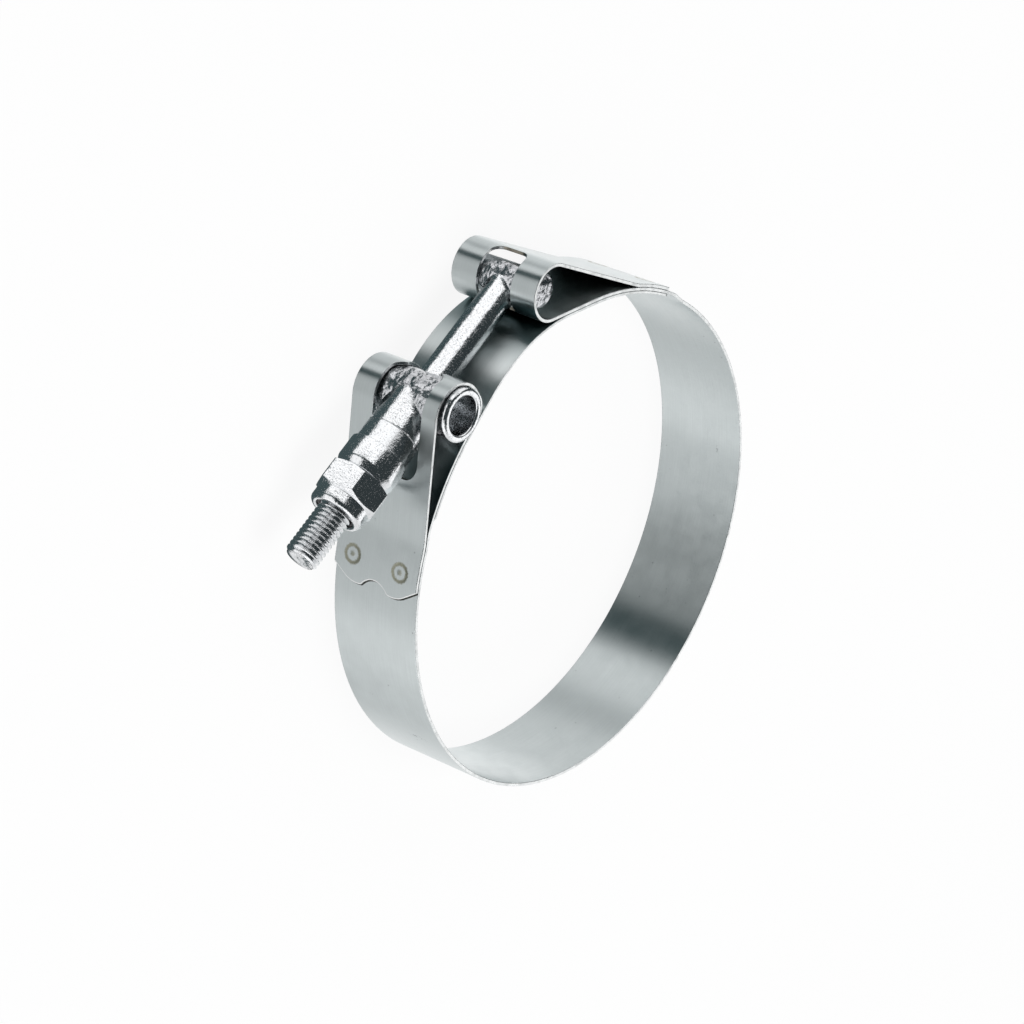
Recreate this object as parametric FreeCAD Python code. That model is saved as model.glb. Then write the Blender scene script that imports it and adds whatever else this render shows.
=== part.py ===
import FreeCAD, Part
import math
import os

# T-bolt band clamp, in millimetres and degrees. The clamping axis is +Z through the origin, the band's
# two edges lie at equal heights above and below it, and the bolt runs along +X on the -Y side.

os.makedirs("parts", exist_ok=True)

# Strip stock
clamp_radius = 47.4
band_width = 19.05
band_t = 0.635
bridge_t = 0.5
layer_gap = 0.02

# Height of the bolt above the band's middle
bolt_height = 0.6

# T-bolt
head_radius = 3.3
head_length = 15.6
head_edge = 0.4
shank_radius = 3.05
neck_fillet = 0.5
thread_radius = 3.175
thread_length = 25.0
thread_chamfer = 0.6
bolt_length = 64.6

# Trunnion: a cross tube with a neck for the bolt
tube_x = 10.6
tube_radius = 5.05
tube_bore_radius = 3.6
tube_length = 20.0
tube_lip = 0.4
neck_radius = 5.05
neck_reach = 8.42
bolt_clearance = 0.125

# Collar between the neck and the nut
spigot_radius = 5.05
spigot_length = 4.2
collar_radius = 5.6
collar_length = 5.6
collar_crown = 1.4
collar_face_radius = 4.9
collar_bulge = 0.14
slide_clearance = 0.075

# Lock nut
nut_flats = 11.11
nut_height = 8.0
nut_hex_height = 5.3
nut_face_radius = 5.25
nut_chamfer_angle = 30.0
nut_collar_radius = 5.15
nut_roll = 0.9
nut_roll_radius = 4.3
nut_roll_bulge = 0.22
nut_lip = 0.45
nut_lip_radius = 3.85
nut_turn = 22.0
nut_countersink = 0.4
nut_clearance = 0.05

# Locking ring rolled into the nut
insert_radius = 4.35
insert_length = 2.2
insert_clearance = 0.025

# Loop round the T-head
head_loop_x = -18.6
head_loop_rise = 1.4
head_loop_slack = 1.47
head_slot_width = 7.8
head_slot_shift = 0.1
head_slot_corner = 2.2
head_slot_back = 3.2
head_slot_foot = 3.4

# Loop round the trunnion
tube_loop_drop = 0.08
tube_loop_slack = 0.35
tube_loop_heel = 3.2
tube_lift_past = 0.5
tube_slot_width = 11.0
tube_slot_shift = 0.85
tube_slot_corner = 2.6
tube_slot_back = 4.3
tube_slot_margin = 0.9
shank_slot_margin = 0.75
shank_slot_corner = 2.2
seat_clearance = 0.03

# Folded tails and the bridge, as lengths round the ring from the middle of the loop beside them
head_tail_touch = 24.3
head_tail_reach = 33.1
tube_tail_touch = 23.6
tube_tail_reach = 30.7
bridge_head_reach = 33.8
bridge_tube_reach = 17.8
bridge_weld_reach = 10.3
tail_bend_radius = 12.0
bridge_crown_radius = 30.0
step_radius = 8.0
step_margin = 1.0

# Cut ends of the strip: two lobes with a notch between them
lobe_depth = 2.5
lobe_flank = 3.1
lobe_shoulder = 2.0
notch_half = 3.0
notch_floor = 0.75
notch_brim = 2.4

# Spot welds
weld_radius = 1.5
weld_spread = 11.0
weld_shift = -0.1
weld_back = 2.55

# Middle lines of the layers, from the inside out
bridge_line = clamp_radius + bridge_t / 2
plain_line = clamp_radius + band_t / 2
over_line = clamp_radius + bridge_t + layer_gap + band_t / 2
head_tail_line = over_line + band_t + layer_gap
tube_tail_line = plain_line + band_t + layer_gap
half_width = band_width / 2

# The trunnion rests on the ring, and each loop is drawn against its closed side
tube_seat = over_line + band_t / 2 + layer_gap + tube_radius
bolt_offset = math.sqrt(tube_seat ** 2 - tube_x ** 2)
tube_loop_radius = tube_radius + seat_clearance + band_t / 2 + tube_loop_slack
closed_x = tube_x - tube_radius - seat_clearance - band_t / 2
tube_loop_x = closed_x + tube_loop_radius
tube_loop_y = tube_loop_drop - bolt_offset
head_loop_radius = head_radius + seat_clearance + band_t / 2 + head_loop_slack
head_loop_y = -math.sqrt((over_line + head_loop_radius + head_loop_rise) ** 2 - head_loop_x ** 2)
head_x = head_loop_x + math.sqrt(head_loop_slack ** 2 - (bolt_offset + head_loop_y) ** 2)

# Stations along the bolt
neck_end_x = tube_x + neck_reach
nut_x = neck_end_x + spigot_length + collar_length

# Directions of the loops from the clamping axis, and of what lies beside them round the ring
head_angle = math.degrees(math.atan2(head_loop_y, head_loop_x))
tube_angle = math.degrees(math.atan2(tube_loop_y, tube_loop_x))
head_tail_contact = head_angle - math.degrees(head_tail_touch / over_line)
head_tail_end = head_angle - math.degrees(head_tail_reach / over_line)
bridge_head_end = head_angle - math.degrees(bridge_head_reach / over_line)
head_over_end = bridge_head_end - math.degrees(step_margin / over_line)
tube_tail_contact = tube_angle + math.degrees(tube_tail_touch / over_line)
tube_tail_end = tube_angle + math.degrees(tube_tail_reach / over_line)
bridge_tube_end = tube_angle + math.degrees(bridge_tube_reach / over_line)
bridge_weld_angle = tube_angle + math.degrees(bridge_weld_reach / over_line)
tube_over_end = bridge_tube_end + math.degrees(step_margin / over_line)

# Ends of neighbouring edges nearer than this are one corner
shared_corner = 1e-5

# Largest corner radius of a slot, as a share of its width
widest_corner = 0.48

clamp_axis = FreeCAD.Vector(0, 0, 0)
along_z = FreeCAD.Vector(0, 0, 1)
along_x = FreeCAD.Vector(1, 0, 0)
along_y = FreeCAD.Vector(0, 1, 0)
left = 1
right = -1


def polar(radius, angle):
    a = math.radians(angle)
    return FreeCAD.Vector(radius * math.cos(a), radius * math.sin(a), 0)


# A turn is (centre, radius, side). The strip runs round the centre and has it on its left or right.
# A heading is the direction of travel, in degrees from +X.
def heading_between(a, b):
    span = b[0] - a[0]
    course = math.degrees(math.atan2(span.y, span.x))
    reach = (b[2] * b[1] - a[2] * a[1]) / span.Length
    return course - math.degrees(math.asin(max(-1.0, min(1.0, reach))))


def point_on(turn, heading, offset):
    centre, radius, side = turn
    return centre - polar(side * radius - offset, heading + 90.0)


# Edges of the line that runs beside the strip's middle line, offset to its left
def strip_line(turns, start_angle, end_angle, offset):
    headings = [start_angle + 90.0 * turns[0][2]]
    headings += [heading_between(a, b) for a, b in zip(turns, turns[1:])]
    headings.append(end_angle + 90.0 * turns[-1][2])
    edges = []
    last = None
    for turn, entry, leave in zip(turns, headings, headings[1:]):
        half_sweep = ((turn[2] * (leave - entry)) % 360.0) / 2
        start = point_on(turn, entry, offset)
        middle = point_on(turn, entry + turn[2] * half_sweep, offset)
        end = point_on(turn, leave, offset)
        if last and (start - last).Length < shared_corner:
            start = last
        elif last:
            edges.append(Part.LineSegment(last, start).toShape())
        edges.append(Part.Arc(start, middle, end).toShape())
        last = end
    return edges


def strip(turns, start_angle, end_angle, thickness):
    sides = [strip_line(turns, start_angle, end_angle, s * thickness / 2) for s in (1, -1)]
    corners = [[point_on(turns[i], a + 90.0 * turns[i][2], s * thickness / 2) for s in (1, -1)]
               for i, a in ((0, start_angle), (-1, end_angle))]
    caps = [Part.LineSegment(*pair).toShape() for pair in corners]
    wire = Part.Wire(Part.__sortEdges__(sides[0] + sides[1] + caps))
    solid = Part.Face(wire).extrude(FreeCAD.Vector(0, 0, band_width))
    solid.translate(FreeCAD.Vector(0, 0, -half_width))
    return solid


# Turned body round the bolt's line. Its outline is a list of corners (distance along the bolt, radius). A
# third value makes the edge up to that corner an arc that stands out by this much from the straight line.
def turned(outline, start_x):
    corners = [FreeCAD.Vector(item[0], item[1], 0) for item in outline]
    edges = []
    for i, item in enumerate(outline):
        last, corner = corners[i - 1], corners[i]
        if len(item) == 3:
            across = (corner - last).cross(along_z).normalize() * -item[2]
            edges.append(Part.Arc(last, (last + corner) / 2 + across, corner).toShape())
        else:
            edges.append(Part.LineSegment(last, corner).toShape())
    solid = Part.Face(Part.Wire(edges)).revolve(clamp_axis, along_x, 360)
    solid.translate(FreeCAD.Vector(start_x, -bolt_offset, bolt_height))
    return solid


def bolt_rod(radius, start_x, end_x):
    start = FreeCAD.Vector(start_x, -bolt_offset, bolt_height)
    return Part.makeCylinder(radius, end_x - start_x, start, along_x)


def cross_rod(radius, x, length):
    start = FreeCAD.Vector(x, -bolt_offset, bolt_height - length / 2)
    return Part.makeCylinder(radius, length, start, along_z)


# Block that cuts a slot, with its four edges along the given direction rounded
def rounded_block(low, high, direction, corner):
    size = FreeCAD.Vector(*high) - FreeCAD.Vector(*low)
    block = Part.makeBox(size.x, size.y, size.z, FreeCAD.Vector(*low))
    edges = [e for e in block.Edges if abs(e.tangentAt(e.FirstParameter).dot(direction)) > 0.99]
    return block.makeFillet(min(corner, widest_corner * size.z), edges)


def ring_core(radius):
    return Part.makeCylinder(radius, band_width, FreeCAD.Vector(0, 0, -half_width), along_z)


# Direction in which the band leaves the ring towards the T-head's loop
head_loop_centre = FreeCAD.Vector(head_loop_x, head_loop_y, 0)
head_reach = (over_line + head_loop_radius) / head_loop_centre.Length
head_lift_angle = head_angle - math.degrees(math.acos(head_reach))

# The band leaves the ring just past the trunnion's seat. The heel of the trunnion's loop touches both
# the lifted band and the loop's closed side.
tube_lift_angle = math.degrees(math.atan2(-bolt_offset, tube_x)) - tube_lift_past
lift = polar(1.0, tube_lift_angle)
heel_x = closed_x + tube_loop_heel
heel_y = (over_line + tube_loop_heel - heel_x * lift.x) / lift.y
heel_centre = FreeCAD.Vector(heel_x, heel_y, 0)
tube_loop_centre = FreeCAD.Vector(tube_loop_x, tube_loop_y, 0)


# Angle that the band takes to step from one layer's radius to the next
def step_angle():
    inner = over_line - step_radius
    outer = plain_line + step_radius
    cosine = (inner ** 2 + outer ** 2 - (2 * step_radius) ** 2) / (2 * inner * outer)
    return math.degrees(math.acos(cosine))


def step_turns(angle_over, angle_plain):
    high = (polar(over_line - step_radius, angle_over), step_radius, right)
    low = (polar(plain_line + step_radius, angle_plain), step_radius, left)
    return high, low


# Removes what lies past the cut end of a tail and leaves the layer under it whole
def tail_trim(line_radius, end_angle, onward):
    flank_z = half_width - lobe_flank
    profile = [(0, half_width), (lobe_shoulder, flank_z), (notch_brim, notch_half),
               (notch_brim, -notch_half), (lobe_shoulder, -flank_z), (0, -half_width)]
    corners = [FreeCAD.Vector(0, s, z) for s, z in profile]
    crown_z = (flank_z + notch_half) / 2
    edges = [Part.LineSegment(corners[0], corners[1]).toShape(),
             Part.Arc(corners[1], FreeCAD.Vector(0, lobe_depth, crown_z), corners[2]).toShape(),
             Part.Arc(corners[2], FreeCAD.Vector(0, notch_floor, 0), corners[3]).toShape(),
             Part.Arc(corners[3], FreeCAD.Vector(0, lobe_depth, -crown_z), corners[4]).toShape(),
             Part.LineSegment(corners[4], corners[5]).toShape()]
    far = 3 * lobe_depth
    box = [corners[5], FreeCAD.Vector(0, 0, -band_width), FreeCAD.Vector(0, far, -band_width),
           FreeCAD.Vector(0, far, band_width), FreeCAD.Vector(0, 0, band_width), corners[0]]
    edges += [Part.LineSegment(a, b).toShape() for a, b in zip(box, box[1:])]
    trim = Part.Face(Part.Wire(edges)).extrude(FreeCAD.Vector(4 * band_t, 0, 0))
    if onward < 0:
        trim = trim.mirror(clamp_axis, along_y)
    trim.translate(FreeCAD.Vector(line_radius - 2 * band_t, 0, 0))
    trim.rotate(clamp_axis, along_z, end_angle)
    inner_face = line_radius - (band_t + layer_gap) / 2
    start = FreeCAD.Vector(0, 0, -band_width)
    shell = Part.makeCylinder(inner_face + 3 * band_t, 2 * band_width, start, along_z)
    shell = shell.cut(Part.makeCylinder(inner_face, 2 * band_width, start, along_z))
    return trim.common(shell)


# Pair of spot welds between two layers
def welds(low_radius, high_radius, angle, shift):
    pair = []
    for side in (-1, 1):
        height = shift + side * weld_spread / 2
        start = polar(low_radius, angle) + FreeCAD.Vector(0, 0, height)
        pair.append(Part.makeCylinder(weld_radius, high_radius - low_radius, start, polar(1.0, angle)))
    return pair


def make_band():
    step = step_angle()
    head_high, head_low = step_turns(head_over_end, head_over_end - step)
    tube_high, tube_low = step_turns(tube_over_end, tube_over_end + step)
    head_bend = polar(head_tail_line + tail_bend_radius, head_tail_contact)
    tube_bend = polar(tube_tail_line + tail_bend_radius, tube_tail_contact)
    turns = [
        (clamp_axis, head_tail_line, left),
        (head_bend, tail_bend_radius, right),
        (head_loop_centre, head_loop_radius, left),
        (clamp_axis, over_line, right),
        head_high,
        head_low,
        (clamp_axis, plain_line, right),
        tube_low,
        tube_high,
        (clamp_axis, over_line, right),
        (heel_centre, tube_loop_heel, left),
        (tube_loop_centre, tube_loop_radius, left),
        (tube_bend, tail_bend_radius, right),
        (clamp_axis, tube_tail_line, left),
    ]
    lobe_turn = math.degrees(lobe_depth / plain_line)
    band = strip(turns, head_tail_end - lobe_turn, tube_tail_end + lobe_turn, band_t)
    band = band.cut(head_slot() + tube_slot())
    band = band.cut(tail_trim(head_tail_line, head_tail_end, -1))
    band = band.cut(tail_trim(tube_tail_line, tube_tail_end, 1))
    back_turn = math.degrees(weld_back / plain_line)
    nuggets = welds(over_line, head_tail_line, head_tail_end + back_turn, weld_shift)
    nuggets += welds(plain_line, tube_tail_line, tube_tail_end - back_turn, weld_shift)
    return band.fuse(nuggets)


# Slot of the T-head's loop, over the top and down the closed side
def head_slot():
    low_z = head_slot_shift - head_slot_width / 2
    high_z = head_slot_shift + head_slot_width / 2
    reach = head_loop_radius + head_slot_corner + band_t
    top = rounded_block((head_loop_x - head_slot_back, head_loop_y - reach, low_z),
                        (head_loop_x + reach, head_loop_y - band_t, high_z),
                        along_y, head_slot_corner)
    front = rounded_block((head_loop_x + band_t, head_loop_y - reach, low_z),
                          (head_loop_x + reach, head_loop_y + head_slot_foot, high_z),
                          along_x, head_slot_corner)
    return [top, front]


# Keyhole slot of the trunnion's loop: wide for the neck and collar, narrow for the shank
def tube_slot():
    low_z = tube_slot_shift - tube_slot_width / 2
    high_z = tube_slot_shift + tube_slot_width / 2
    reach = tube_loop_radius + tube_slot_corner + band_t
    top = rounded_block((tube_loop_x - tube_slot_back, tube_loop_y - reach, low_z),
                        (tube_loop_x + reach, tube_loop_y, high_z), along_y, tube_slot_corner)
    foot_y = -bolt_offset + spigot_radius + tube_slot_margin
    leg = rounded_block((tube_loop_x, tube_loop_y - reach, low_z),
                        (nut_x, foot_y, high_z), along_x, tube_slot_corner)
    half = shank_radius + shank_slot_margin
    shank = rounded_block((closed_x - reach, tube_loop_y - reach, bolt_height - half),
                          (heel_x, half - bolt_offset, bolt_height + half), along_x, shank_slot_corner)
    return [top, leg.cut(ring_core(over_line + band_t)), shank]


def make_bridge():
    half_span = (tube_lift_angle - head_lift_angle) / 2
    crown_offset = (bridge_line - bridge_crown_radius) / math.cos(math.radians(half_span))
    crown_centre = polar(crown_offset, (tube_lift_angle + head_lift_angle) / 2)
    turns = [
        (clamp_axis, bridge_line, left),
        (crown_centre, bridge_crown_radius, left),
        (clamp_axis, bridge_line, left),
    ]
    bridge = strip(turns, bridge_head_end, bridge_tube_end, bridge_t)
    seam = ring_core(over_line - band_t / 2)
    nuggets = [n.common(seam) for n in welds(bridge_line, over_line, bridge_weld_angle, 0.0)]
    return bridge.fuse(nuggets)


def make_t_bolt():
    head = cross_rod(head_radius, head_x, head_length)
    rims = [e for e in head.Edges if isinstance(e.Curve, Part.Circle)]
    head = head.makeChamfer(head_edge, rims)
    taper = thread_radius - shank_radius
    thread_start = bolt_length - thread_length
    bar = turned([(0, 0), (0, shank_radius), (thread_start - taper, shank_radius),
                  (thread_start, thread_radius), (bolt_length - thread_chamfer, thread_radius),
                  (bolt_length, thread_radius - thread_chamfer), (bolt_length, 0)], head_x)
    bolt = head.fuse(bar)
    neck = [e for e in bolt.Edges if not isinstance(e.Curve, (Part.Circle, Part.Line))]
    return bolt.makeFillet(neck_fillet, neck)


def make_trunnion():
    tube = cross_rod(tube_radius, tube_x, tube_length)
    tube = tube.fuse(bolt_rod(neck_radius, tube_x, neck_end_x)).removeSplitter()
    tube = tube.cut(cross_rod(tube_bore_radius, tube_x, 2 * tube_length))
    hole = thread_radius + bolt_clearance
    tube = tube.cut(bolt_rod(hole, tube_x - 2 * tube_radius, neck_end_x + tube_radius))
    round_edges = [e for e in tube.Edges if isinstance(e.Curve, Part.Circle)]
    half = tube_length / 2
    lips = [e for e in round_edges if abs(abs(e.Curve.Center.z - bolt_height) - half) < shared_corner]
    return tube.makeChamfer(tube_lip, lips)


def make_collar():
    bore = thread_radius + slide_clearance
    length = spigot_length + collar_length
    return turned([(0, bore), (0, spigot_radius), (spigot_length, spigot_radius),
                   (spigot_length, collar_radius), (length - collar_crown, collar_radius),
                   (length, collar_face_radius, collar_bulge), (length, bore)], neck_end_x)


def make_lock_nut():
    corner = nut_flats / 2 / math.cos(math.radians(30))
    slope = math.tan(math.radians(nut_chamfer_angle))
    face_rise = (corner - nut_face_radius) * slope
    collar_rise = (corner - nut_collar_radius) * slope
    bore = thread_radius + nut_clearance
    seat = nut_height - nut_lip - insert_length
    body = turned([(0, bore + nut_countersink), (0, nut_face_radius), (face_rise, corner),
                   (nut_hex_height - collar_rise, corner), (nut_hex_height, nut_collar_radius),
                   (nut_height - nut_roll, nut_collar_radius),
                   (nut_height, nut_roll_radius, nut_roll_bulge),
                   (nut_height, nut_lip_radius), (nut_height - nut_lip, nut_lip_radius),
                   (nut_height - nut_lip, insert_radius), (seat, insert_radius), (seat, bore),
                   (nut_countersink, bore)], nut_x)
    rim = [polar(corner, nut_turn + 60 * i) for i in range(7)]
    hexagon = Part.Face(Part.makePolygon([FreeCAD.Vector(0, p.x, p.y) for p in rim]))
    prism = hexagon.extrude(FreeCAD.Vector(nut_height, 0, 0))
    prism.translate(FreeCAD.Vector(nut_x, -bolt_offset, bolt_height))
    return body.common(prism)


def make_nylon_insert():
    bore = thread_radius + insert_clearance
    start_x = nut_x + nut_height - nut_lip - insert_length
    return turned([(0, bore), (0, insert_radius), (insert_length, insert_radius),
                   (insert_length, bore)], start_x)


pieces = {
    "band": make_band,
    "bridge": make_bridge,
    "t_bolt": make_t_bolt,
    "trunnion": make_trunnion,
    "collar": make_collar,
    "lock_nut": make_lock_nut,
    "nylon_insert": make_nylon_insert,
}
for name, make in pieces.items():
    shape = make().removeSplitter()
    print(name, "solids", len(shape.Solids), "valid", shape.isValid(), "volume", round(shape.Volume, 3))
    shape.exportStep("parts/" + name + ".step")
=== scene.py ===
import bmesh
import bpy
import numpy as np
from mathutils import Matrix, Vector


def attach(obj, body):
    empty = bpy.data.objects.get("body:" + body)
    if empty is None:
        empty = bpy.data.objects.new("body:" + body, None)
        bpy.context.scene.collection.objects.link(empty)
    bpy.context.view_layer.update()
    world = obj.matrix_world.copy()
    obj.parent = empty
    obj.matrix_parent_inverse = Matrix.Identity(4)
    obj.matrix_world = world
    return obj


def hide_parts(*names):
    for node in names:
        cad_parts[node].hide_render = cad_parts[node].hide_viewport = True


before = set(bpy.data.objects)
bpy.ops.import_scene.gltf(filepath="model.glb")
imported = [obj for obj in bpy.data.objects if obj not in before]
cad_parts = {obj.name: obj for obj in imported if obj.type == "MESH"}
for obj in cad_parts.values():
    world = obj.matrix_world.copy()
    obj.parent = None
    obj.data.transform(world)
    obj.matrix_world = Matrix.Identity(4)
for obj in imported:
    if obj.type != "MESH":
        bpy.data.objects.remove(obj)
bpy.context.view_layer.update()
print("stage: frame loaded")

mm = 0.001  # shapes are worked out in millimetres and put into meshes in metres
tiny = 1e-6
origin = np.zeros(2)

# The clamping axis is +Z through the origin. The bolt runs along +X on the -Y side. The band lies over the bridge
# and round the T-head and the cross tube, so the values of these pieces come first.
clamp = {"ringRadius": 47.4, "stripWidth": 19.05, "layerGap": 0.02, "boltHeight": 0.6}
bandStrip = {
    "thickness": 0.635, "edgeRound": 0.1, "rowCounts": (6, 8, 12, 8, 6), "seatGap": 0.03, "tailBend": 12.0,
    "stepRadius": 8.0, "stepMargin": 1.0, "tailInset": 3.0, "slotFrame": 2.4,
    "headLoop": {"x": -18.6, "rise": 1.4, "slack": 1.47, "slotWidth": 7.8, "slotShift": 0.1, "slotCorner": 2.2,
                 "slotBack": 3.2, "slotFoot": 3.4, "slotColumns": 44, "lookBack": 7.0, "lookOn": 4.5,
                 "tailTouch": 24.3, "tailReach": 33.1},
    "tubeLoop": {"drop": 0.08, "slack": 0.35, "heel": 3.2, "liftPast": 0.5, "slotWidth": 11.0, "slotShift": 0.85,
                 "slotCorner": 2.6, "slotBack": 4.3, "slotMargin": 0.9, "slotColumns": 56, "shankMargin": 0.75,
                 "shankCorner": 2.2, "lookBack": 4.5, "lookOn": (8.0, 20.0), "tailTouch": 23.6,
                 "tailReach": 30.7},
    "cutEnd": {"lobe": 2.5, "flank": 3.1, "shoulder": 2.0, "notchHalf": 3.0, "notchFloor": 0.75, "brim": 2.4},
    "spotWeld": {"spread": 11.0, "shift": -0.1, "back": 2.55}}
bridgeStrip = {"thickness": 0.5, "edgeRound": 0.08, "headReach": 33.8, "tubeReach": 17.8, "weldReach": 10.3,
               "crownRadius": 30.0, "cornerRadius": 0.8, "endInset": 2.0, "endColumns": 3}
tBolt = {"headRadius": 3.3, "headLength": 15.6, "headEdge": 0.5, "dome": 0.3, "domeRings": 12, "dent": 0.09,
         "dentStep": 0.42, "dentTurn": 1.0, "forgedSkin": 0.01, "shankRadius": 3.05, "flareReach": 0.9,
         "flareRise": 0.27, "insideHead": 0.6, "flareRows": (1.0, 5.0, 33), "plainFrom": 6.0, "plainRows": 18,
         "threadRadius": 3.175, "threadLength": 25.0, "length": 64.6, "pitch": 0.907, "threadDepth": 0.57,
         "fadeTurns": 1.6, "tipChamfer": 0.5, "aroundCount": 56,
         "tipRings": ((1.0, 0.0), (0.62, 0.0), (0.5, 0.08), (0.2, 0.08), (0.0, 0.03))}
trunnion = {"x": 10.6, "radius": 5.05, "boreRadius": 3.6, "length": 20.0, "rounds": (0.372, 0.62, 0.62, 0.372),
            "neckRadius": 5.05, "neckReach": 8.42, "neckSunk": 0.7, "neckRows": ((0, 0.55, 20), (0.6, 0.985, 8)),
            "flareReach": 1.4, "flareRise": 0.35, "rim": 0.12, "boltHole": 3.3, "mouth": 0.15, "holeFrom": 3.9,
            "forgedSkin": 0.05, "turnedEnds": 1.4, "aroundCount": 72}
collar = {"spigotRadius": 5.05, "spigotLength": 4.2, "radius": 5.6, "length": 5.6, "crown": 1.4,
          "faceRadius": 4.9, "bore": 3.25, "rounds": (0.1, 0.16, 0.06, 0.16, 1.2, 0.3, 0.1), "aroundCount": 72}


def pick(values, *keys):
    return [values[key] for key in keys]


def setAll(target, **values):
    for key, value in values.items():
        setattr(target, key, value)


def newObject(name, data):
    made = bpy.data.objects.new(name, data)
    bpy.context.scene.collection.objects.link(made)
    return made


headLoop, tubeLoop, cutEnd, spotWeld = pick(bandStrip, "headLoop", "tubeLoop", "cutEnd", "spotWeld")

# Middle lines of the layers and places of the seats, from the same named values as the solids
ringRadius, layerGap, boltZ = pick(clamp, "ringRadius", "layerGap", "boltHeight")
tubeX, tubeRadius = pick(trunnion, "x", "radius")
headRadius, shankRadius = pick(tBolt, "headRadius", "shankRadius")
bandT, bridgeT = bandStrip["thickness"], bridgeStrip["thickness"]
halfWidth = clamp["stripWidth"] / 2
bridgeLine = ringRadius + bridgeT / 2
plainLine = ringRadius + bandT / 2
overLine = ringRadius + bridgeT + layerGap + bandT / 2
headTailLine = overLine + bandT + layerGap
tubeTailLine = plainLine + bandT + layerGap
tubeSeat = overLine + bandT / 2 + layerGap + tubeRadius
boltY = -np.sqrt(tubeSeat ** 2 - tubeX ** 2)
seatStep = bandStrip["seatGap"] + bandT / 2
tubeLoopRadius = tubeRadius + seatStep + tubeLoop["slack"]
closedX = tubeX - tubeRadius - seatStep
tubeLoopX, tubeLoopY = closedX + tubeLoopRadius, boltY + tubeLoop["drop"]
headLoopRadius = headRadius + seatStep + headLoop["slack"]
headLoopX = headLoop["x"]
headLoopY = -np.sqrt((overLine + headLoopRadius + headLoop["rise"]) ** 2 - headLoopX ** 2)
headX = headLoopX + np.sqrt(headLoop["slack"] ** 2 - (boltY - headLoopY) ** 2)
headAngle = np.degrees(np.arctan2(headLoopY, headLoopX))
tubeAngle = np.degrees(np.arctan2(tubeLoopY, tubeLoopX))
liftHead = headAngle - np.degrees(np.arccos((overLine + headLoopRadius) / np.hypot(headLoopX, headLoopY)))
liftTube = np.degrees(np.arctan2(boltY, tubeX)) - tubeLoop["liftPast"]


# Angle that a length round the ring takes at the outer layer
def ringTurn(reach):
    return np.degrees(reach / overLine)


headTailContact = headAngle - ringTurn(headLoop["tailTouch"])
headTailEnd = headAngle - ringTurn(headLoop["tailReach"])
bridgeHeadEnd = headAngle - ringTurn(bridgeStrip["headReach"])
headOverEnd = bridgeHeadEnd - ringTurn(bandStrip["stepMargin"])
tubeTailContact = tubeAngle + ringTurn(tubeLoop["tailTouch"])
tubeTailEnd = tubeAngle + ringTurn(tubeLoop["tailReach"])
bridgeTubeEnd = tubeAngle + ringTurn(bridgeStrip["tubeReach"])
tubeOverEnd = bridgeTubeEnd + ringTurn(bandStrip["stepMargin"])


def polar(radius, angle):
    return np.array([radius * np.cos(np.radians(angle)), radius * np.sin(np.radians(angle))])


# A strip's middle line is a chain of named turns (centre, radius, side) joined by straight runs. The heading
# from one turn to the next is the line of centres, turned by the arcsine of the difference of the signed radii
# over the distance. Each piece of the chain is kept as its start, heading and curvature.
def stripPath(turns, startAngle, endAngle, shortestRun=1e-4):
    chain = list(turns.values())
    headings, runs = [startAngle + 90.0 * chain[0][2]], []
    for (centreA, radiusA, sideA), (centreB, radiusB, sideB) in zip(chain, chain[1:]):
        span = centreB - centreA
        reach = (sideB * radiusB - sideA * radiusA) / np.hypot(*span)
        headings.append(np.degrees(np.arctan2(span[1], span[0]) - np.arcsin(np.clip(reach, -1, 1))))
        runs.append(np.hypot(*span) * np.sqrt(max(0.0, 1 - reach ** 2)))
    headings.append(endAngle + 90.0 * chain[-1][2])
    starts, curves, lengths, arcs = [], [], [], {}
    for name, entry, leave, run in zip(turns, headings, headings[1:], runs + [0.0]):
        centre, radius, side = turns[name]
        sweep = np.radians((side * (leave - entry)) % 360.0)
        arcs[name] = (sum(lengths), entry)
        for heading, curve, length in ((entry, side / radius, radius * sweep), (leave, 0.0, run)):
            if curve or length > shortestRun:
                starts.append(np.append(centre - polar(side * radius, heading + 90.0), np.radians(heading)))
                curves.append(curve)
                lengths.append(length)
    return {"turns": turns, "arcs": arcs, "stations": np.concatenate([[0.0], np.cumsum(lengths)]),
            "starts": np.array(starts), "curves": np.array(curves)}


# Place and heading at a length along the strip: from the start of its arc, a chord as long as the arc times
# sin(half angle) / half angle, turned by half of the arc's angle
def pathPoint(path, length):
    length = np.asarray(length, float)
    index = np.clip(np.searchsorted(path["stations"], length, side="right") - 1, 0, len(path["curves"]) - 1)
    along = length - path["stations"][index]
    half = path["curves"][index] * along / 2
    x, y, heading = path["starts"][index].T
    chord = along * np.sinc(half / np.pi)
    return x + chord * np.cos(heading + half), y + chord * np.sin(heading + half), heading + 2 * half


# Length along the strip where one of its turns passes an angle about that turn's centre
def lengthAtAngle(path, name, angle):
    radius, side = path["turns"][name][1:]
    start, entry = path["arcs"][name]
    return start + radius * np.radians(((angle - (entry - 90.0 * side)) * side) % 360.0)


# Length at which a coordinate of the strip passes a value, between two stations where it only rises or falls
def lengthWhere(path, low, high, axis, value, count=4000):
    s = np.linspace(low, high, count)
    coordinate = pathPoint(path, s)[axis]
    order = np.argsort(coordinate)
    return float(np.interp(value, coordinate[order], s[order]))


# Lengths of the columns between two stations, closer together where the strip bends more tightly
def columnsBetween(path, low, high, sag=0.012, longest=2.2):
    stops = [low]
    for a, b, curve in zip(path["stations"], path["stations"][1:], path["curves"]):
        a, b = max(a, low), min(b, high)
        if b - a < tiny:
            continue
        step = longest if curve == 0 else min(longest, np.sqrt(8 * sag / abs(curve)))
        count = int(np.ceil((b - a) / step))
        stops += list(np.linspace(a, b, count + 1)[1:])
    return np.array(stops)


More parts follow.
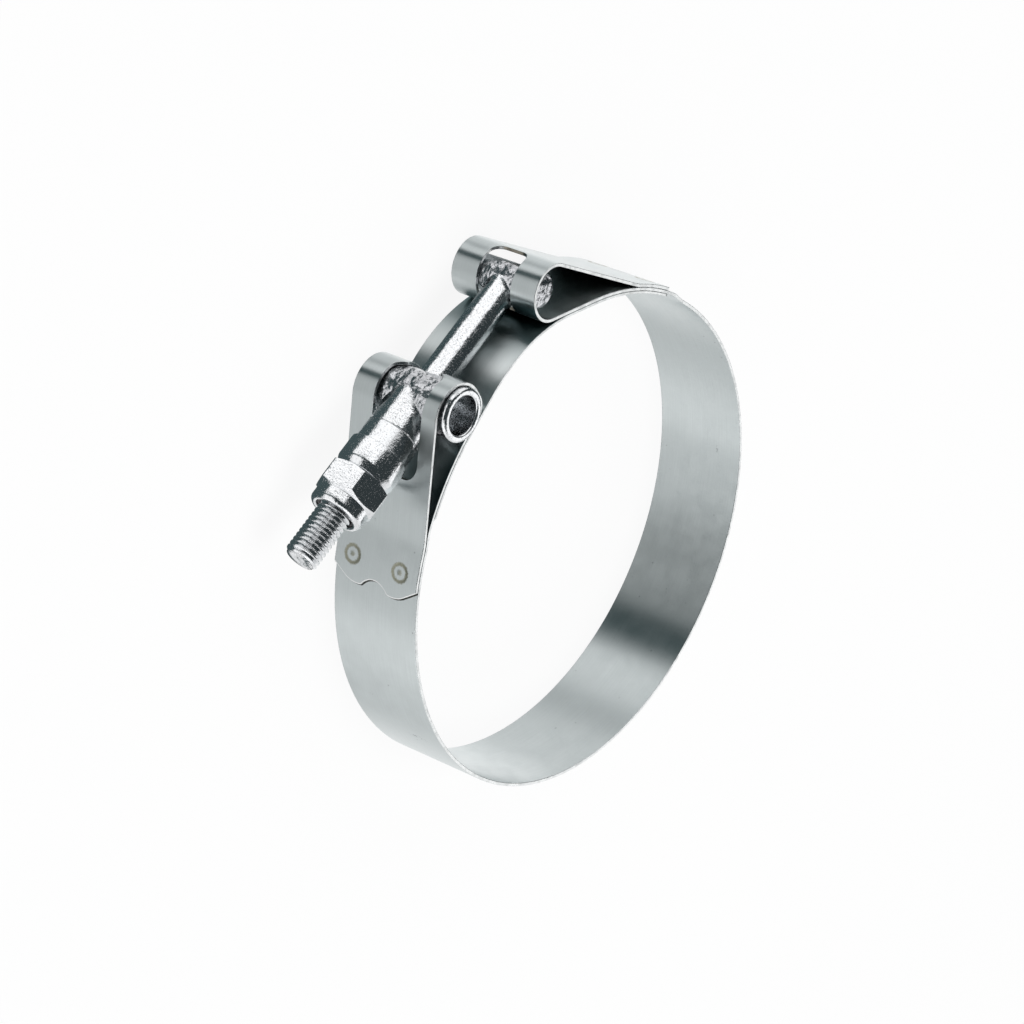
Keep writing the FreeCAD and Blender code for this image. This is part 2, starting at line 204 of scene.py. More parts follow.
# Lengths that crowd towards both ends: the cosine of evenly spaced angles
def crowded(low, high, count=3000):
    return low + (high - low) * (1 - np.cos(np.linspace(0, np.pi, count))) / 2


def pairs(a, b):
    return np.stack([a, b], -1)


# Corner numbers of the quads of a grid, rows first. A closed grid joins its last column to its first.
def gridQuads(rows, columns, closed=False):
    r, c = np.meshgrid(np.arange(rows - 1), np.arange(columns if closed else columns - 1), indexing="ij")
    here, beside = r * columns + c, r * columns + (c + 1) % columns
    return np.stack([here, beside, beside + columns, here + columns], -1).reshape(-1, 4)


def joinGrids(grids):
    firsts = np.cumsum([0] + [len(points) for points, quads in grids])
    return (np.concatenate([points for points, quads in grids]),
            np.concatenate([quads + first for (points, quads), first in zip(grids, firsts)]))


# Mesh from arrays of points, quads and flat places. Points that meet are merged, so seams are closed.
def meshPiece(name, points, quads, flat=None, mergeDistance=2e-6):
    mesh = bpy.data.meshes.new(name)
    mesh.vertices.add(len(points))
    mesh.vertices.foreach_set("co", (np.asarray(points) * mm).ravel())
    mesh.loops.add(quads.size)
    mesh.loops.foreach_set("vertex_index", quads.ravel())
    mesh.polygons.add(len(quads))
    mesh.polygons.foreach_set("loop_start", np.arange(0, quads.size, 4))
    mesh.update(calc_edges=True)
    if flat is not None:
        layer = mesh.uv_layers.new(name="flatPlace")
        layer.data.foreach_set("uv", (flat[quads.ravel()] * mm).ravel())
    cleaned = bmesh.new()
    cleaned.from_mesh(mesh)
    bmesh.ops.remove_doubles(cleaned, verts=cleaned.verts, dist=mergeDistance)
    bmesh.ops.recalc_face_normals(cleaned, faces=cleaned.faces)
    cleaned.to_mesh(mesh)
    cleaned.free()
    mesh.polygons.foreach_set("use_smooth", np.ones(len(mesh.polygons), bool))
    return newObject(name, mesh)


# Flat patches of (length along, distance across) joined into one strip and laid along its path. The wall grows
# half to each side, its cut edges take the second material, and edges that turn more than bluntest are rounded.
def stripPiece(name, path, patches, look, bluntest=50):
    flat, quads = joinGrids(patches)
    x, y, _ = pathPoint(path, flat[:, 0])
    piece = meshPiece(name, np.stack([x, y, flat[:, 1]], -1), quads, flat)
    setAll(piece.modifiers.new("stripThickness", "SOLIDIFY"), thickness=look["thickness"] * mm, offset=0.0,
           use_even_offset=True, material_offset_rim=1)
    setAll(piece.modifiers.new("roundedEdges", "BEVEL"), width=look["edgeRound"] * mm, segments=2,
           limit_method="ANGLE", angle_limit=np.radians(bluntest), use_clamp_overlap=False, harden_normals=True)
    return piece


rowStops = (-halfWidth, cutEnd["flank"] - halfWidth, -cutEnd["notchHalf"],
            cutEnd["notchHalf"], halfWidth - cutEnd["flank"], halfWidth)
stripRows = np.unique(np.concatenate([np.linspace(a, b, n + 1) for a, b, n in
                                      zip(rowStops, rowStops[1:], bandStrip["rowCounts"])]).round(6))


def plainPatch(columns):
    s, w = np.meshgrid(columns, stripRows, indexing="ij")
    return pairs(s, w).reshape(-1, 2), gridQuads(len(columns), len(stripRows))


# Patch that ends in a cut outline: each row runs from the inner column to its own end
def endPatch(inner, ends, columnCount=8):
    share = np.linspace(0, 1, columnCount + 1)[:, None]
    s = inner + (ends[None, :] - inner) * share
    w = np.broadcast_to(stripRows, s.shape)
    return pairs(s, w).reshape(-1, 2), gridQuads(columnCount + 1, len(stripRows))


# Patch round a slot: from each point of the slot's outline, straight lines in the flat strip run to a point of
# the strip's edges or of the two end columns. The four sides meet at the middles of the slot's round corners.
def slotPatch(s, lower, upper, corners, columnCount, shares=(0, 0.14, 0.32, 0.54, 0.77, 1.0)):
    low, high = s[0] - bandStrip["slotFrame"], s[-1] + bandStrip["slotFrame"]
    below, above = pairs(s, lower), pairs(s, upper)[::-1]
    ring = np.concatenate([below, above, below[:1]])
    lengths = np.concatenate([[0.0], np.cumsum(np.hypot(*np.diff(ring, axis=0).T))])
    count, total, quarter = len(s), lengths[-1], np.pi / 4
    marks = np.array([quarter * corners[0], lengths[count - 1] - quarter * corners[1],
                      lengths[count] + quarter * corners[1], lengths[2 * count - 1] - quarter * corners[0]])
    across = (stripRows + halfWidth) / (2 * halfWidth)
    even = np.linspace(0, 1, columnCount + 1)
    sides = [(marks[0], marks[1], even, pairs(low + (high - low) * even, even * 0 - halfWidth)),
             (marks[1], marks[2], across, pairs(stripRows * 0 + high, stripRows)),
             (marks[2], marks[3], even, pairs(high + (low - high) * even, even * 0 + halfWidth)),
             (marks[3], marks[0] + total, across, pairs(stripRows * 0 + low, -stripRows))]
    inner, outer = [], []
    for start, end, share, rim in sides:
        place = (start + (end - start) * share[:-1]) % total
        inner.append(np.stack([np.interp(place, lengths, ring[:, i]) for i in (0, 1)], -1))
        outer.append(rim[:-1])
    inner, outer = np.concatenate(inner), np.concatenate(outer)
    points = inner + (outer - inner) * np.array(shares)[:, None, None]
    return (points.reshape(-1, 2), gridQuads(len(shares), len(inner), closed=True)), (low, high)


# Circle through three points, as the distance out at each height. It bulges the way of its middle point.
def arcThrough(heights, a, b, c):
    a, b, c = np.array(a), np.array(b), np.array(c)
    centre = np.linalg.solve([2 * (b - a), 2 * (c - a)], [b @ b - a @ a, c @ c - a @ a])
    rise = np.sqrt(np.maximum(0, (a - centre) @ (a - centre) - (heights - centre[1]) ** 2))
    return centre[0] + np.sign(b[0] - centre[0]) * rise


# Cut end of the band: straight flanks, two lobes and the notch between them
def lobeOutline(w):
    brim, shoulder, notchHalf = pick(cutEnd, "brim", "shoulder", "notchHalf")
    flankZ = halfWidth - cutEnd["flank"]
    height = np.abs(w)
    flank = shoulder * (halfWidth - height) / cutEnd["flank"]
    lobe = arcThrough(height, (shoulder, flankZ), (cutEnd["lobe"], (flankZ + notchHalf) / 2), (brim, notchHalf))
    notch = arcThrough(height, (brim, notchHalf), (cutEnd["notchFloor"], 0.0), (brim, -notchHalf))
    return np.where(height >= flankZ, flank, np.where(height >= notchHalf - tiny, lobe, notch))


# What a round corner takes off half of a slot's width at this distance in from the slot's end
def cornerLoss(distance, radius):
    inside = np.clip(radius - distance, 0, radius)
    return radius - np.sqrt(radius ** 2 - inside ** 2)


def bandPath():
    bend, stepRadius, heel = bandStrip["tailBend"], bandStrip["stepRadius"], tubeLoop["heel"]
    innerStep, outerStep = overLine - stepRadius, plainLine + stepRadius
    cosine = (innerStep ** 2 + outerStep ** 2 - (2 * stepRadius) ** 2) / (2 * innerStep * outerStep)
    step = np.degrees(np.arccos(cosine))
    lift = polar(1.0, liftTube)
    heelX = closedX + heel
    heelY = (overLine + heel - heelX * lift[0]) / lift[1]
    left, right = 1, -1
    turns = {
        "headTail": (origin, headTailLine, left),
        "headBend": (polar(headTailLine + bend, headTailContact), bend, right),
        "headLoop": (np.array([headLoopX, headLoopY]), headLoopRadius, left),
        "headOver": (origin, overLine, right),
        "headStepInner": (polar(innerStep, headOverEnd), stepRadius, right),
        "headStepOuter": (polar(outerStep, headOverEnd - step), stepRadius, left),
        "ring": (origin, plainLine, right),
        "tubeStepOuter": (polar(outerStep, tubeOverEnd + step), stepRadius, left),
        "tubeStepInner": (polar(innerStep, tubeOverEnd), stepRadius, right),
        "tubeOver": (origin, overLine, right),
        "heel": (np.array([heelX, heelY]), heel, left),
        "tubeLoop": (np.array([tubeLoopX, tubeLoopY]), tubeLoopRadius, left),
        "tubeBend": (polar(tubeTailLine + bend, tubeTailContact), bend, right),
        "tubeTail": (origin, tubeTailLine, left),
    }
    lobeTurn = np.degrees(cutEnd["lobe"] / plainLine)
    return stripPath(turns, headTailEnd - lobeTurn, tubeTailEnd + lobeTurn), lobeTurn


band, bandLobeTurn = bandPath()
bandLength = band["stations"][-1]
headTailS = headTailLine * np.radians(bandLobeTurn)
tubeTailS = bandLength - tubeTailLine * np.radians(bandLobeTurn)


# The slot of the T-head's loop: its half width is the full one less the round corners at both ends
def headSlot():
    corner, shift = headLoop["slotCorner"], headLoop["slotShift"]
    top, front = lengthAtAngle(band, "headLoop", -90.0), lengthAtAngle(band, "headLoop", 0.0)
    endX, endY = headLoopX - headLoop["slotBack"], headLoopY + headLoop["slotFoot"]
    s = crowded(lengthWhere(band, top - headLoop["lookBack"], top, 0, endX),
                lengthWhere(band, front, front + headLoop["lookOn"], 1, endY))
    x, y, _ = pathPoint(band, s)
    loss = np.where(s < top, cornerLoss(x - endX, corner), np.where(s > front, cornerLoss(endY - y, corner), 0))
    half = headLoop["slotWidth"] / 2 - loss
    return slotPatch(s, shift - half, shift + half, (corner, corner), headLoop["slotColumns"])


# The keyhole of the trunnion's loop: narrow for the shank on the closed side, wide for the neck from the top on
def tubeSlot():
    corner, shift = tubeLoop["slotCorner"], tubeLoop["slotShift"]
    top, closed = lengthAtAngle(band, "tubeLoop", -90.0), lengthAtAngle(band, "tubeLoop", 180.0)
    shankHalf = shankRadius + tubeLoop["shankMargin"]
    shankY, wideX = boltY + shankHalf, tubeLoopX - tubeLoop["slotBack"]
    wideY = boltY + collar["spigotRadius"] + tubeLoop["slotMargin"]
    lookFrom, lookTo = tubeLoop["lookOn"]
    s = crowded(lengthWhere(band, closed - tubeLoop["lookBack"], closed, 1, shankY),
                lengthWhere(band, top + lookFrom, top + lookTo, 1, wideY))
    x, y, _ = pathPoint(band, s)
    loss = np.where(s < closed, cornerLoss(shankY - y, tubeLoop["shankCorner"]), 0)
    narrow = np.where(x < closedX + tubeLoop["heel"], shankHalf - loss, 0)
    loss = np.where(s < top, cornerLoss(x - wideX, corner), cornerLoss(wideY - y, corner))
    wide = np.where((x > wideX) & (s > closed), tubeLoop["slotWidth"] / 2 - loss, 0)
    lower = np.minimum(boltZ - narrow, np.where(wide > 0, shift - wide, np.inf))
    upper = np.maximum(boltZ + narrow, np.where(wide > 0, shift + wide, -np.inf))
    return slotPatch(s, lower, upper, (tubeLoop["shankCorner"], corner), tubeLoop["slotColumns"])


headPatch, headEnds = headSlot()
tubePatch, tubeEnds = tubeSlot()
lobes, tailInset = lobeOutline(stripRows), bandStrip["tailInset"]
bandPatches = [
    endPatch(headTailS + tailInset, headTailS - lobes),
    plainPatch(columnsBetween(band, headTailS + tailInset, headEnds[0])),
    headPatch,
    plainPatch(columnsBetween(band, headEnds[1], tubeEnds[0])),
    tubePatch,
    plainPatch(columnsBetween(band, tubeEnds[1], tubeTailS - tailInset)),
    endPatch(tubeTailS - tailInset, tubeTailS + lobes),
]
bandPiece = stripPiece("foldedBand", band, bandPatches, bandStrip)
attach(bandPiece, "clamp")
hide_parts("band")
print("stage: band, free length of the strip", round(bandLength, 1), "mm")


def bridgePath():
    halfSpan = (liftTube - liftHead) / 2
    crownOffset = (bridgeLine - bridgeStrip["crownRadius"]) / np.cos(np.radians(halfSpan))
    crown = polar(crownOffset, (liftTube + liftHead) / 2)
    return stripPath({"headSide": (origin, bridgeLine, 1), "crown": (crown, bridgeStrip["crownRadius"], 1),
                      "tubeSide": (origin, bridgeLine, 1)}, bridgeHeadEnd, bridgeTubeEnd)


bridge = bridgePath()
bridgeLength = bridge["stations"][-1]
bridgeCorner = cornerLoss(halfWidth - np.abs(stripRows), bridgeStrip["cornerRadius"])
endInset, endColumns = bridgeStrip["endInset"], bridgeStrip["endColumns"]
bridgePatches = [
    endPatch(endInset, bridgeCorner, endColumns),
    plainPatch(columnsBetween(bridge, endInset, bridgeLength - endInset)),
    endPatch(bridgeLength - endInset, bridgeLength - bridgeCorner, endColumns),
]
bridgePiece = stripPiece("bridgePlate", bridge, bridgePatches, bridgeStrip)
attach(bridgePiece, "clamp")
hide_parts("bridge")
print("stage: bridge")


# Outline of (distance along, radius) corners with a round of its own radius at each
def roundedOutline(corners, radii, arcSteps=5, closed=False):
    corners = np.array(corners, float)
    line = []
    for i, (corner, radius) in enumerate(zip(corners, radii)):
        if radius <= 0 or (not closed and i in (0, len(corners) - 1)):
            line.append(corner[None])
            continue
        back = corners[i - 1] - corner
        onward = corners[(i + 1) % len(corners)] - corner
        back, onward = back / np.hypot(*back), onward / np.hypot(*onward)
        half = np.arccos(np.clip(back @ onward, -1, 1)) / 2
        centre = corner + (back + onward) / np.hypot(*(back + onward)) * radius / np.sin(half)
        first, last = corner + back * radius / np.tan(half), corner + onward * radius / np.tan(half)
        a = np.arctan2(*(first - centre)[::-1])
        sweep = (np.arctan2(*(last - centre)[::-1]) - a + np.pi) % (2 * np.pi) - np.pi
        turn = a + sweep * np.linspace(0, 1, arcSteps + 1)
        line.append(centre + radius * pairs(np.cos(turn), np.sin(turn)))
    line = np.concatenate(line)
    return np.concatenate([line, line[:1]]) if closed else line


def placedGrid(x, y, z, closed=True):
    points = np.stack(np.broadcast_arrays(x, y, z), -1)
    return points.reshape(-1, 3), gridQuads(*points.shape[:2], closed=closed)


# Turned body: each point of a grid goes round the bolt's line, y = radius cos(turn), z = radius sin(turn)
def aroundBolt(along, radius, turn, startX, closed=True):
    return placedGrid(startX + along, boltY + radius * np.cos(turn), boltZ + radius * np.sin(turn), closed)


# Turned body round an upright line, for the T-head and the cross tube
def aroundUpright(along, radius, turn, x):
    return placedGrid(x + radius * np.cos(turn), boltY + radius * np.sin(turn), boltZ + along)


def fullTurn(look):
    return np.linspace(0, 2 * np.pi, look["aroundCount"], endpoint=False)


def turnedGrid(look, outline, placer, place):
    return placer(outline[:, :1], outline[:, 1:], fullTurn(look), place)


# Ring turned from a closed outline with rounded corners
def turnedRing(look, corners, placer, place):
    return turnedGrid(look, roundedOutline(corners, look["rounds"], closed=True), placer, place)


# Faces whose middles pass a test take the piece's second material
def secondMaterial(piece, test):
    centres = np.zeros(3 * len(piece.data.polygons))
    piece.data.polygons.foreach_get("center", centres)
    chosen = test(centres.reshape(-1, 3) / mm)
    piece.data.polygons.foreach_set("material_index", chosen.astype(np.int32))


# T-head: a cross bar with rounded rims. Its ends are domed by a square curve and dented by the product of two
# sines of the place across, as forging leaves them.
def headGrid():
    edge, dome, dentStep = pick(tBolt, "headEdge", "dome", "dentStep")
    flat = tBolt["headLength"] / 2 - dome
    side = roundedOutline([(-flat, 0), (-flat, headRadius), (flat, headRadius), (flat, 0)],
                          [0, edge, edge, 0])[1:-1]
    cap = np.linspace(0, side[0][1], tBolt["domeRings"])[:-1]
    outline = np.concatenate([pairs(cap * 0 - flat, cap), side,
                              pairs(cap * 0 + flat, cap)[::-1]])
    points, quads = turnedGrid(tBolt, outline, aroundUpright, headX)
    x, y, z = (points - [headX, boltY, boltZ]).T
    reach = np.hypot(x, y) / side[0][1]
    dents = tBolt["dent"] * np.sin(x / dentStep + tBolt["dentTurn"]) * np.sin(y / dentStep)
    rise = np.clip(dome * (1 - reach ** 2) + dents, 0, dome) * np.sign(z)
    points[:, 2] += np.where(reach < 1 - tiny, rise, 0)
    return points, quads


# Shank: its radius grows by a square curve over the last part before the head's round side
def shankGrid():
    threadStart, turn = tBolt["length"] - tBolt["threadLength"], fullTurn(tBolt)
    x = np.concatenate([[tBolt["insideHead"]], np.linspace(*tBolt["flareRows"]),
                        np.linspace(tBolt["plainFrom"], threadStart, tBolt["plainRows"])])[:, None]
    face = np.sqrt(headRadius ** 2 - (shankRadius * np.cos(turn)) ** 2)
    near = np.clip(1 - (x - face) / tBolt["flareReach"], 0, 1)
    radius = shankRadius + tBolt["flareRise"] * near ** 2 * np.abs(np.sin(turn))
    return aroundBolt(x, radius, turn, headX)


# Thread: each row of the grid is a helix, x = start + pitch (row / rows per pitch + turn / full turn).
# The radius is the crest's less a groove of the row's own depth, which fades in at the start of the thread.
# Rows are cut off level at both ends, and the tip follows its chamfer. The profile is (share of a pitch, share
# of the depth).
def threadGrid():
    profile = np.array([[0.0, 0.0], [0.08, 0.0], [0.12, 0.07], [0.41, 0.94], [0.46, 1.0],
                        [0.52, 1.0], [0.57, 0.94], [0.86, 0.07], [0.9, 0.0]])
    threadRadius, pitch, end = pick(tBolt, "threadRadius", "pitch", "length")
    start = end - tBolt["threadLength"]
    turns = int(np.ceil(tBolt["threadLength"] / pitch)) + 2  # one more before the start and one after the end
    rows = (np.arange(turns)[:, None] + profile[:, 0]).ravel()[:, None] - 1
    depths = np.tile(profile[:, 1], turns)[:, None]
    turn = np.linspace(0, 2 * np.pi, tBolt["aroundCount"] + 1)
    x = start + (rows + turn / (2 * np.pi)) * pitch
    fade = np.clip((x - start) / (tBolt["fadeTurns"] * pitch), 0, 1)
    fade = fade * fade * (3 - 2 * fade)
    radius = shankRadius + (threadRadius - shankRadius) * fade - tBolt["threadDepth"] * depths * fade
    x = np.clip(x, start, end)
    radius = np.minimum(radius, threadRadius - tBolt["tipChamfer"] + (end - x))
    return aroundBolt(x, radius, turn, headX, closed=False)


# Flat tip with the shallow ring that the cutting tool leaves, as (share of the radius, depth)
def tipGrid():
    radius = tBolt["threadRadius"] - tBolt["tipChamfer"]
    outline = np.array([(tBolt["length"] - depth, radius * share) for share, depth in tBolt["tipRings"]])
    return turnedGrid(tBolt, outline, aroundBolt, headX)


boltPiece = meshPiece("tBoltBody", *joinGrids([headGrid(), shankGrid(), threadGrid(), tipGrid()]))
secondMaterial(boltPiece, lambda c: np.hypot(c[:, 0] - headX, c[:, 1] - boltY)
               < headRadius + tBolt["forgedSkin"])
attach(boltPiece, "clamp")
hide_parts("t_bolt")
print("stage: T-bolt")


# Cross tube: a closed outline of wall, bore and rounded lips, turned round its upright line
def tubeGrid():
    half, bore = trunnion["length"] / 2, trunnion["boreRadius"]
    return turnedRing(trunnion, [(-half, bore), (-half, tubeRadius), (half, tubeRadius), (half, bore)],
                      aroundUpright, tubeX)


# Neck: starts inside the tube's wall and flares onto it by a square curve, most on top and below
def neckGrid():
    reach, radius, rim, hole, mouth = pick(trunnion, "neckReach", "neckRadius", "rim", "boltHole", "mouth")
    turn = fullTurn(trunnion)
    side = radius * np.cos(turn)
    begin, face = (np.sqrt(np.maximum(0, (tubeRadius - sunk) ** 2 - side ** 2))
                   for sunk in (trunnion["neckSunk"], 0))
    share = np.concatenate([np.linspace(*rows) for rows in trunnion["neckRows"]])
    x = begin + (reach - begin) * share[:, None]
    near = np.clip(1 - (x - face) / trunnion["flareReach"], 0, 1)
    wall = radius + trunnion["flareRise"] * near ** 2 * np.sin(turn) ** 2
    end = np.array([(reach - rim, radius), (reach - rim / 3, radius - rim / 4), (reach, radius - rim),
                    (reach, hole + mouth), (reach - mouth, hole), (trunnion["holeFrom"], hole)])
    x, wall = (np.concatenate([grid, np.broadcast_to(end[:, i:i + 1], (len(end), len(turn)))])
               for i, grid in enumerate((x, wall)))
    return aroundBolt(x, wall, turn, tubeX)


tubePiece = meshPiece("crossTube", *joinGrids([tubeGrid(), neckGrid()]))
secondMaterial(tubePiece, lambda c: (np.abs(c[:, 2] - boltZ) < trunnion["length"] / 2 - trunnion["turnedEnds"])
               & (np.abs(np.hypot(c[:, 0] - tubeX, c[:, 1] - boltY) - tubeRadius)
                  < trunnion["forgedSkin"]))
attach(tubePiece, "clamp")
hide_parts("trunnion")
print("stage: trunnion")

neckEndX = tubeX + trunnion["neckReach"]
collarLength = collar["spigotLength"] + collar["length"]


def collarGrid():
    spigot, spigotRadius, radius, bore = pick(collar, "spigotLength", "spigotRadius", "radius", "bore")
    corners = [(0, bore), (0, spigotRadius), (spigot, spigotRadius), (spigot, radius),
               (collarLength - collar["crown"], radius), (collarLength, collar["faceRadius"]),
               (collarLength, bore)]
    return turnedRing(collar, corners, aroundBolt, neckEndX)


collarPiece = meshPiece("slidingCollar", *collarGrid())
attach(collarPiece, "spacer")
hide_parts("collar")

# The angles within a flat are closest at its corners. Edge is the (height, inset) of the small rounds.
lockNut = {"flats": 11.11, "height": 8.0, "hexHeight": 5.3, "faceRadius": 5.25, "collarRadius": 5.15,
           "roll": 0.9, "rollRadius": 4.3, "rollRows": 8, "rollLead": 0.5, "lip": 0.45, "lipRadius": 3.85,
           "turn": 22.0, "chamferAngle": 30.0, "countersink": 0.4, "bore": 3.225, "edge": (0.02, 0.1),
           "flatAngles": (-30, -29, -27.6, -24, -16, -8, 0, 8, 16, 24, 27.6, 29), "crease": 0.07,
           "chamferShares": (0.08, 0.33, 0.66, 0.94, 1.0)}
nylonRing = {"radius": 4.35, "length": 2.2, "bore": 3.2, "rounds": (0.2, 0.2, 0.2, 0.3), "aroundCount": 64}
nutX = neckEndX + collarLength
lipX = lockNut["height"] - lockNut["lip"]


# Lock nut: the outline of each angle is that of a turned blank, cut off by the flat's own distance there,
# half the flats over the cosine of the angle from the flat's middle
def nutGrid():
    within = np.array(lockNut["flatAngles"])
    turn = np.radians((np.arange(6)[:, None] * 60 + within + 30).ravel() + lockNut["turn"])
    reach = np.tile(lockNut["flats"] / 2 / np.cos(np.radians(np.clip(within, within[1], -within[1]))), 6)
    slope = np.tan(np.radians(lockNut["chamferAngle"]))
    faceR, collarR, rollR, lipR = pick(lockNut, "faceRadius", "collarRadius", "rollRadius", "lipRadius")
    height, hexHeight, roll, crease, bore = pick(lockNut, "height", "hexHeight", "roll", "crease", "bore")
    shares, (rise, inset) = lockNut["chamferShares"], lockNut["edge"]
    sink, ringR, seat = lockNut["countersink"], nylonRing["radius"], lipX - nylonRing["length"]
    low, high = reach - faceR, reach - collarR
    rows = [(0.0, bore + sink), (0.0, faceR - inset), (rise, faceR)]
    rows += [(low * slope * k + rise, faceR + low * k) for k in shares]
    rows += [(low * slope + rise + crease, reach), (hexHeight - high * slope - crease, reach)]
    rows += [(hexHeight - high * slope * k, collarR + high * k) for k in shares[::-1]]
    rows += [(hexHeight, collarR), (hexHeight + crease, collarR), (height - roll - lockNut["rollLead"], collarR)]
    rows += [(height - roll + roll * np.sin(a), rollR + (collarR - rollR) * np.cos(a))
             for a in np.linspace(0, np.pi / 2, lockNut["rollRows"])]
    rows += [(height - rise, lipR + inset), (height - inset, lipR), (lipX, lipR), (lipX, ringR), (seat, ringR),
             (seat, bore), (sink, bore), (0.0, bore + sink)]
    x, radius = (np.stack([row[i] + 0 * turn for row in rows]) for i in (0, 1))
    return aroundBolt(x, radius, turn, nutX)


nutPiece = meshPiece("hexLockNut", *nutGrid())
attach(nutPiece, "nut")
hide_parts("lock_nut")


def nylonGrid():
    length, radius, bore = pick(nylonRing, "length", "radius", "bore")
    return turnedRing(nylonRing, [(0, bore), (0, radius), (length, radius), (length, bore)], aroundBolt,
                      nutX + lipX - length)


nylonPiece = meshPiece("nylonRing", *nylonGrid())
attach(nylonPiece, "nut")
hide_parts("nylon_insert")
print("stage: collar, nut and nylon ring")


# An input given as a socket is linked, and any other is set
def feed(tree, node, inputs):
    for key, value in dict(inputs).items():
        if isinstance(value, bpy.types.NodeSocket):
            tree.links.new(value, node.inputs[key])
        else:
            node.inputs[key].default_value = value
    return node


def addNode(tree, kind, inputs=(), **settings):
    node = tree.nodes.new("ShaderNode" + kind)
    setAll(node, **settings)
    return feed(tree, node, inputs)


def calc(tree, operation, a, b=0.0):
    return addNode(tree, "Math", {0: a, 1: b}, operation=operation).outputs[0]


def times(tree, a, b, plus=0.0):
    return addNode(tree, "Math", {0: a, 1: b, 2: plus}, operation="MULTIPLY_ADD").outputs[0]


def smoothStep(tree, value, low, high, start=0.0, end=1.0):
    return addNode(tree, "MapRange", {"Value": value, "From Min": low, "From Max": high, "To Min": start,
                                      "To Max": end}, interpolation_type="SMOOTHSTEP").outputs["Result"]


def noise(tree, place, scale, detail=2.0):
    return addNode(tree, "TexNoise", {"Vector": place, "Scale": scale, "Detail": detail}).outputs[0]


def mixed(tree, factor, a, b, blend="MIX", clamp=True):
    return addNode(tree, "Mix", {"Factor": factor, "A": a, "B": b}, data_type="RGBA", blend_type=blend,
                   clamp_factor=clamp).outputs["Result"]


# Ramp through (place, value) stops, with both from 0 to 1
def ramp(tree, factor, stops):
    node = addNode(tree, "ValToRGB", {"Fac": factor})
    elements = node.color_ramp.elements
    while len(elements) < len(stops):
        elements.new(1.0)
    for element, (place, value) in zip(elements, stops):
        element.position = place
        element.color = (value, value, value, 1)
    return node.outputs["Color"]


def newMaterial(name):
    material = bpy.data.materials.new(name)
    material.use_nodes = True
    return material, material.node_tree, material.node_tree.nodes["Principled BSDF"]


# Group with the place, a float input for each number, a vector input for each tuple, and float outputs
def newGroup(name, inputs, outputs):
    tree = bpy.data.node_groups.new(name, "ShaderNodeTree")
    for label, value in {"Place": (0, 0, 0), **inputs}.items():
        kind = "NodeSocketVector" if isinstance(value, tuple) else "NodeSocketFloat"
        tree.interface.new_socket(label, in_out="INPUT", socket_type=kind).default_value = value
    for label in outputs:
        tree.interface.new_socket(label, in_out="OUTPUT", socket_type="NodeSocketFloat")
    given = tree.nodes.new("NodeGroupInput").outputs
    return tree, given["Place"], given, tree.nodes.new("NodeGroupOutput")


# Rolled strip: fine lines along the strip, soft clouding, and small dark specks in some of the cells of a pattern
rollLook = {"lines": (90, 5200, 1), "clouds": 260.0, "grains": 2600.0, "grainHeight": 0.5, "specks": 520.0,
            "speckFade": (0.13, 0.05), "speckChance": (0.86, 0.9)}


def rollGrainGroup():
    tree, place, given, made = newGroup("rollGrain", {"Line Depth": 0.1, "Clouding": 0.1, "Specks": 0.3},
                                        ("Shade", "Height", "Dull"))
    lined = addNode(tree, "Mapping", {"Vector": place, "Scale": rollLook["lines"]})
    lines, clouds, grains = (noise(tree, *row) for row in (
        (lined.outputs[0], 1.0, 3.0), (place, rollLook["clouds"], 3.0), (place, rollLook["grains"], 1.0)))
    dots = addNode(tree, "TexVoronoi", {"Vector": place, "Scale": rollLook["specks"]}).outputs
    chance = addNode(tree, "TexWhiteNoise", {"Vector": dots["Position"]}, noise_dimensions="3D").outputs["Value"]
    speck = times(tree, smoothStep(tree, dots["Distance"], *rollLook["speckFade"]),
                  smoothStep(tree, chance, *rollLook["speckChance"]))
    shade = times(tree, calc(tree, "SUBTRACT", lines, 0.5), given["Line Depth"], 1.0)
    shade = times(tree, calc(tree, "SUBTRACT", clouds, 0.5), given["Clouding"], shade)
    shade = calc(tree, "SUBTRACT", shade, times(tree, speck, given["Specks"]))
    feed(tree, made, {"Shade": shade, "Height": times(tree, grains, rollLook["grainHeight"], lines),
                      "Dull": clouds})
    return tree


# Spot weld: a dished ring with a burnt rim and a small dot in the middle, round one place of the flat strip
weldLook = {"mottling": 3200.0, "mottle": 0.3, "rim": 0.88, "rimFade": (0.28, 0.08), "dotFade": (0.42, 0.12),
            "dotBurn": 0.85, "dishFade": (1.1, 0.75), "dotRise": 0.6}


def weldRingGroup():
    tree, place, given, made = newGroup("weldRing", {"Centre": (0, 0, 0), "Radius": 0.0016, "Before": 0.0,
                                                     "Dish Before": 0.0}, ("Burn", "Dish"))
    away = addNode(tree, "VectorMath", {0: place, 1: given["Centre"]}, operation="DISTANCE")
    share = calc(tree, "DIVIDE", away.outputs["Value"], given["Radius"])
    mottle = calc(tree, "SUBTRACT", noise(tree, place, weldLook["mottling"]), 0.5)
    share = times(tree, mottle, weldLook["mottle"], share)
    off = calc(tree, "ABSOLUTE", calc(tree, "SUBTRACT", share, weldLook["rim"]))
    dot = smoothStep(tree, share, *weldLook["dotFade"])
    burn = calc(tree, "MAXIMUM", smoothStep(tree, off, *weldLook["rimFade"]),
                times(tree, dot, weldLook["dotBurn"]))
    dish = calc(tree, "SUBTRACT", smoothStep(tree, share, *weldLook["dishFade"]),
                times(tree, dot, weldLook["dotRise"]))
    feed(tree, made, {"Burn": calc(tree, "MAXIMUM", burn, given["Before"]),
                      "Dish": calc(tree, "MAXIMUM", dish, given["Dish Before"])})
    return tree


